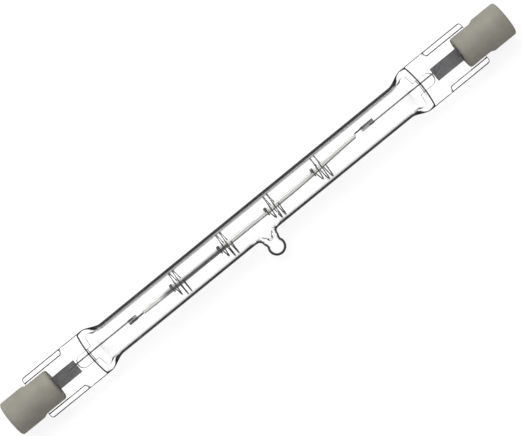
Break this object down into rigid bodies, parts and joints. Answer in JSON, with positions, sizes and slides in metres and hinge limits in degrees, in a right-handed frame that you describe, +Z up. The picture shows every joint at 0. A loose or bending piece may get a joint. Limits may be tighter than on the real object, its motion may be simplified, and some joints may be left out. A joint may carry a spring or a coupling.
{
  "type": "linear halogen bulb",
  "caption": "Slim double-ended quartz tube lamp with pressed flat seals, a coiled filament on wire spirals, an exhaust tip and round ceramic end caps with recessed contacts.",
  "frame": {"origin": "the middle of the lamp's axis, half-way between the outer faces of the two caps, 3.6 mm above the surface it lies on", "axes": "+X along the lamp, away from the cap in whose slot the seal stands 1 mm deeper; +Z up, with the lamp lying on both caps and its exhaust tip, which points to -Y and 17.5 degrees down"},
  "size_m": [0.1176, 0.0123, 0.0072],
  "materials": {
    "quartz": "clear, fire-polished",
    "steatite": "matte unglazed steatite",
    "cement": "matte, chalky capping cement",
    "tungsten": "drawn tungsten wire, dull grey",
    "support_wire": "drawn tungsten wire, dull grey",
    "sleeve_wire": "closely wound molybdenum wire, dark",
    "lead_wire": "drawn molybdenum wire, grey",
    "foil": "etched molybdenum foil, dark grey",
    "contact_metal": "nickel-plated, satin"
  },
  "bodies": {
    "root": {"quartz_envelope": "quartz", "filament": "tungsten", "filament_support_1": "support_wire", "filament_support_2": "support_wire", "filament_support_3": "support_wire", "filament_support_4": "support_wire", "sleeve_left": "sleeve_wire", "sleeve_right": "sleeve_wire", "inner_lead_left": "lead_wire", "inner_lead_right": "lead_wire", "molybdenum_foil_left": "foil", "molybdenum_foil_right": "foil", "outer_lead_left": "lead_wire", "outer_lead_right": "lead_wire", "contact_left": "contact_metal", "contact_right": "contact_metal", "ceramic_cap_left": "steatite", "ceramic_cap_right": "steatite", "cap_cement_left": "cement", "cap_cement_right": "cement"}
  },
  "joints": []
}
